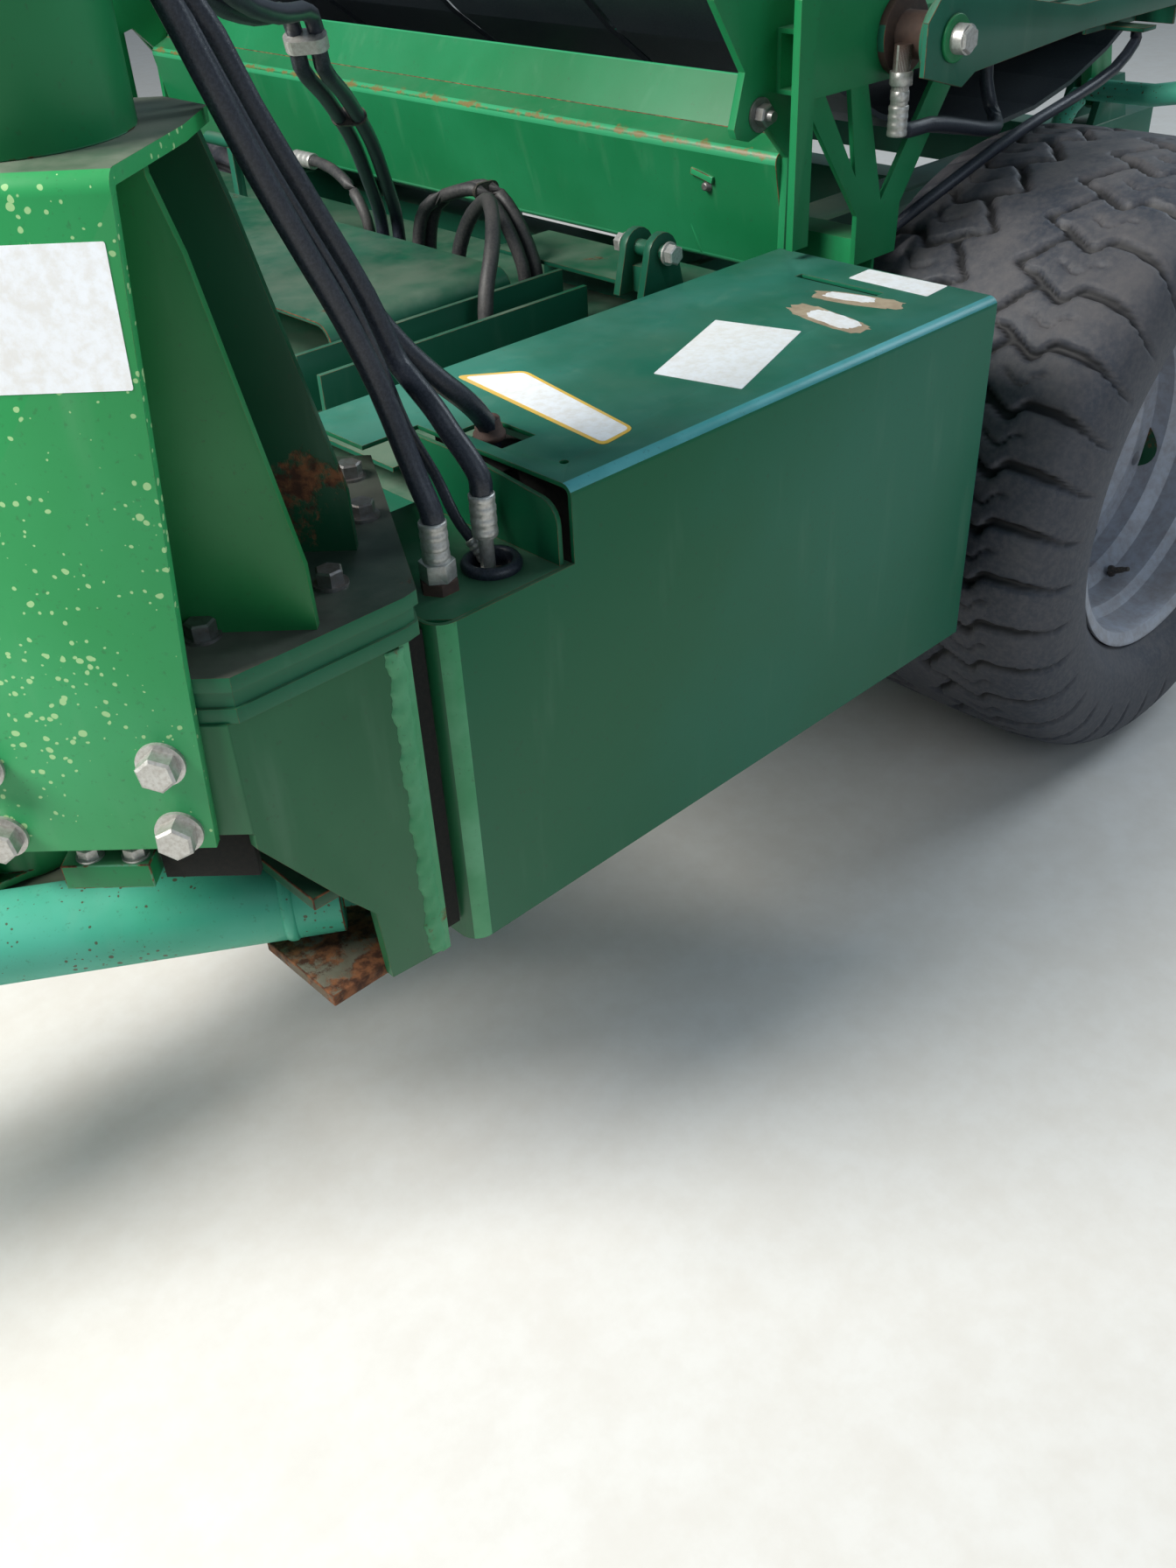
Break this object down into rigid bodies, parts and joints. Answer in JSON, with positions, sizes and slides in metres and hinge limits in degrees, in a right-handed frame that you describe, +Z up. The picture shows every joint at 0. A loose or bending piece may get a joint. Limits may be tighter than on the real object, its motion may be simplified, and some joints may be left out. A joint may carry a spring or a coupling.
{
  "type": "round bale wrapper",
  "caption": "Trailed round bale wrapper with a belted bale table, a loading fork, a swinging drawbar and film dispensers that turn overhead on a gooseneck mast.",
  "frame": {"origin": "on the ground, under the middle of the axle, on the machine's centre line", "axes": "+X forward towards the drawbar, +Y to the machine's left, +Z up"},
  "size_m": [5.3422, 2.7, 3.065],
  "materials": {
    "painted_green": "satin green paint with rust",
    "painted_dark_green": "gloss dark green paint",
    "rubber_hose": "matt black",
    "tyre_rubber": "worn, dusty",
    "rim_silver": "silver paint with rust",
    "belt_rubber": "smooth black belting",
    "bare_steel": "bright and worn",
    "chrome_rod": "polished"
  },
  "bodies": {
    "chassis": {"chassis_frame": "painted_green", "front_corner": "painted_dark_green", "deck_plates": "painted_green", "deck_cover": "painted_green", "left_cover": "painted_dark_green", "right_cover": "painted_dark_green", "hose_bulkhead": "painted_green", "swing_ears": "painted_dark_green", "mast_pedestal": "painted_green", "mast": "painted_green", "rotor_drive": "painted_green", "axle": "painted_green", "rear_guards": "painted_green", "light_bar": "painted_green", "hose_mast_a": "rubber_hose", "hose_mast_b": "rubber_hose", "hose_mast_c": "rubber_hose", "hose_deck_pair": "rubber_hose", "hose_loops": "rubber_hose"},
    "wheel_left": {"rim_left": "rim_silver", "tyre_left": "tyre_rubber"},
    "wheel_right": {"rim_right": "rim_silver", "tyre_right": "tyre_rubber"},
    "drawbar": {"drawbar": "painted_green", "towing_eye": "bare_steel", "jack_tube": "painted_green"},
    "jack": {"jack_leg": "bare_steel"},
    "swing_barrel": {"swing_barrel": "painted_green"},
    "swing_rod": {"swing_rod": "chrome_rod"},
    "table": {"table_frame": "painted_green", "table_trough": "painted_green", "film_cutter_left": "painted_green", "film_cutter_right": "painted_green", "hose_table": "rubber_hose", "front_roller": "bare_steel", "rear_roller": "bare_steel", "table_belts": "belt_rubber"},
    "tilt_barrel": {"tilt_barrel": "painted_green"},
    "tilt_rod": {"tilt_rod": "chrome_rod"},
    "loader": {"loader_fork": "painted_green"},
    "loader_barrel": {"loader_barrel": "painted_green"},
    "loader_rod": {"loader_rod": "chrome_rod"},
    "rotor": {"rotor_beam": "painted_green", "dispenser_left": "painted_green", "dispenser_right": "painted_green", "stretch_rollers_left": "bare_steel", "stretch_rollers_right": "bare_steel"}
  },
  "joints": [
    {"name": "wheel_left_spin", "type": "hinge", "parent": "chassis", "child": "wheel_left", "pos_m": [0, 1.1, 0.5], "axis": [0, 1, 0], "continuous": true},
    {"name": "wheel_right_spin", "type": "hinge", "parent": "chassis", "child": "wheel_right", "pos_m": [0, -1.1, 0.5], "axis": [0, 1, 0], "continuous": true},
    {"name": "rotor_spin", "type": "hinge", "parent": "chassis", "child": "rotor", "pos_m": [-0.15, 0, 2.7], "axis": [0, 0, 1], "continuous": true},
    {"name": "drawbar_swing", "type": "hinge", "parent": "chassis", "child": "drawbar", "pos_m": [1.78, 0.7, 0.515], "axis": [0, 0, 1], "range_deg": [0, 35]},
    {"name": "jack_slide", "type": "slide", "parent": "drawbar", "child": "jack", "axis": [0, 0, 1], "range_m": [0, 0.35]},
    {"name": "swing_barrel_turn", "type": "hinge", "parent": "chassis", "child": "swing_barrel", "pos_m": [1.555, 1.206, 0.53], "axis": [0, 0, 1], "range_deg": [0, 15]},
    {"name": "swing_rod_slide", "type": "slide", "parent": "swing_barrel", "child": "swing_rod", "axis": [0.8374, -0.5466, 0], "range_m": [-0.23, 0]},
    {"name": "table_tilt", "type": "hinge", "parent": "chassis", "child": "table", "pos_m": [-0.9, 0, 0.88], "axis": [0, -1, 0], "range_deg": [0, 50]},
    {"name": "tilt_barrel_turn", "type": "hinge", "parent": "chassis", "child": "tilt_barrel", "pos_m": [-0.42, 0, 0.6], "axis": [0, -1, 0], "range_deg": [0, 60]},
    {"name": "tilt_rod_slide", "type": "slide", "parent": "tilt_barrel", "child": "tilt_rod", "axis": [0.9019, 0, 0.4319], "range_m": [0, 0.48]},
    {"name": "loader_lift", "type": "hinge", "parent": "chassis", "child": "loader", "pos_m": [1.33, 0, 0.56], "axis": [0, 1, 0], "range_deg": [-15, 88]},
    {"name": "loader_barrel_turn", "type": "hinge", "parent": "chassis", "child": "loader_barrel", "pos_m": [0.5, 0, 0.44], "axis": [0, -1, 0], "range_deg": [-3, 5]},
    {"name": "loader_rod_slide", "type": "slide", "parent": "loader_barrel", "child": "loader_rod", "axis": [0.9959, 0, -0.09], "range_m": [-0.37, 0.07]}
  ],
  "couplings": [
    {"joint": "swing_barrel_turn", "follows": "drawbar_swing", "ratio": 0.35835},
    {"joint": "swing_rod_slide", "follows": "drawbar_swing", "m_per_rad": -0.35104},
    {"joint": "tilt_barrel_turn", "follows": "table_tilt", "ratio": 1.0684},
    {"joint": "tilt_rod_slide", "follows": "table_tilt", "m_per_rad": 0.53393},
    {"joint": "loader_barrel_turn", "follows": "loader_lift", "ratio": 0.015262},
    {"joint": "loader_rod_slide", "follows": "loader_lift", "m_per_rad": -0.23488}
  ]
}
